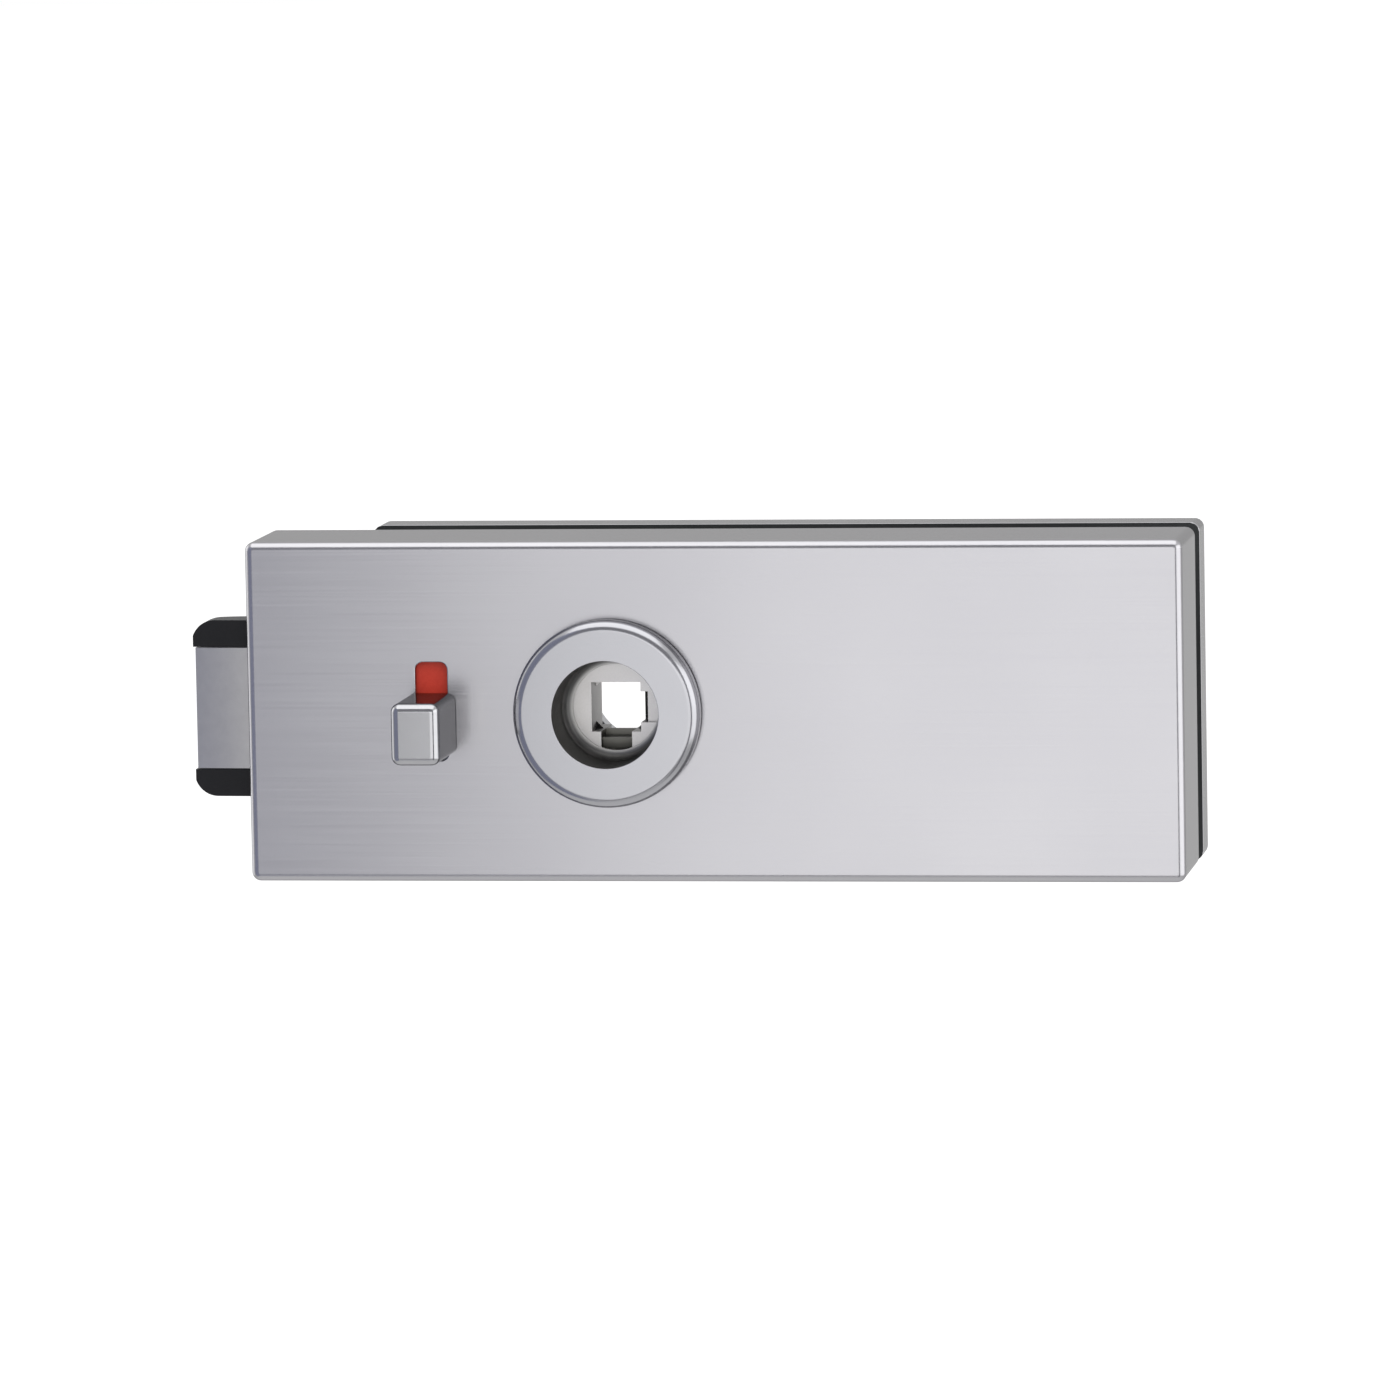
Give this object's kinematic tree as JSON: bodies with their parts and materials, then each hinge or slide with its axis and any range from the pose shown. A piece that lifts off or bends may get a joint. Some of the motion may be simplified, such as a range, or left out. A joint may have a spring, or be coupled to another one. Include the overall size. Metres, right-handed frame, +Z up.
{
  "type": "glass door lock",
  "caption": "Case lock for a toughened glass door: spring latch, snib slide with indicator, open lever follower and a clamped back cover.",
  "frame": {"origin": "bottom centre of the bounding box of the whole part, on the plane the case and the cover stand on", "axes": "+X along the case away from the latch, +Y through the glass from the front case to the back cover, +Z up"},
  "size_m": [0.2056, 0.07, 0.07],
  "materials": {
    "satin_case": "satin brushed along the case, stainless look",
    "satin_rose": "finely turned satin",
    "cast_zinc": "die-cast zinc alloy, smooth matt",
    "steel": "plain zinc-plated steel",
    "spring_wire": "drawn spring wire",
    "black_plastic": "black moulded plastic, slight sheen",
    "white_plastic": "natural white bearing plastic",
    "gasket_rubber": "dark matt sheet",
    "red_paint": "red indicator plate",
    "green_paint": "green indicator plate"
  },
  "bodies": {
    "frame": {"front_case": "satin_case", "base_plate": "steel", "front_gasket": "gasket_rubber", "back_gasket": "gasket_rubber", "back_plate": "steel", "back_cover": "satin_case", "front_rose": "satin_rose", "back_rose": "satin_rose", "hub_front_bush": "white_plastic", "hub_back_bush": "white_plastic", "latch_guide": "black_plastic", "snib_track": "black_plastic", "track_screw_1": "steel", "track_screw_2": "steel", "detent_ball": "steel", "detent_spring": "spring_wire", "release_bush": "white_plastic", "clamp_screw_1": "steel", "clamp_screw_2": "steel", "clamp_screw_3": "steel", "clamp_screw_4": "steel", "glass_bush_1": "white_plastic", "glass_bush_2": "white_plastic", "glass_bush_3": "white_plastic", "glass_bush_4": "white_plastic", "case_grub_screw_1": "steel", "case_grub_screw_2": "steel", "cover_grub_screw_1": "steel", "cover_grub_screw_2": "steel", "latch_spring_upper": "spring_wire", "latch_spring_lower": "spring_wire", "hub_return_spring": "spring_wire"},
    "follower": {"hub": "cast_zinc", "drive_pin": "steel"},
    "latch": {"latch_core": "cast_zinc", "latch_cap_upper": "black_plastic", "latch_cap_lower": "black_plastic", "latch_tail": "steel", "tail_pin_1": "steel", "tail_pin_2": "steel"},
    "snib": {"snib_knob": "satin_case", "snib_slider": "steel", "red_indicator": "red_paint", "green_indicator": "green_paint", "snib_screw": "steel"},
    "release": {"release_spindle": "steel", "release_disc": "satin_rose"}
  },
  "joints": [
    {"name": "hub_turn", "type": "hinge", "parent": "frame", "child": "follower", "pos_m": [-0.01495, -0.005, 0.035], "axis": [0, 1, 0], "range_deg": [0, 40], "stiffness_Nm_per_rad": 0.6, "springref_deg": -20.05, "deforming": ["hub_return_spring"]},
    {"name": "latch_slide", "type": "slide", "parent": "frame", "child": "latch", "axis": [1, 0, 0], "range_m": [0, 0.01448], "stiffness_N_per_m": 500, "springref_m": -0.01, "deforming": ["latch_spring_upper", "latch_spring_lower"]},
    {"name": "snib_slide", "type": "slide", "parent": "frame", "child": "snib", "axis": [0, 0, 1], "range_m": [0, 0.00465]},
    {"name": "release_turn", "type": "hinge", "parent": "frame", "child": "release", "pos_m": [-0.05265, 0.033, 0.029], "axis": [0, -1, 0], "range_deg": [0, 60]}
  ],
  "couplings": [
    {"joint": "hub_turn", "follows": "latch_slide", "rad_per_m": 48.19},
    {"joint": "release_turn", "follows": "snib_slide", "rad_per_m": 225.2}
  ]
}
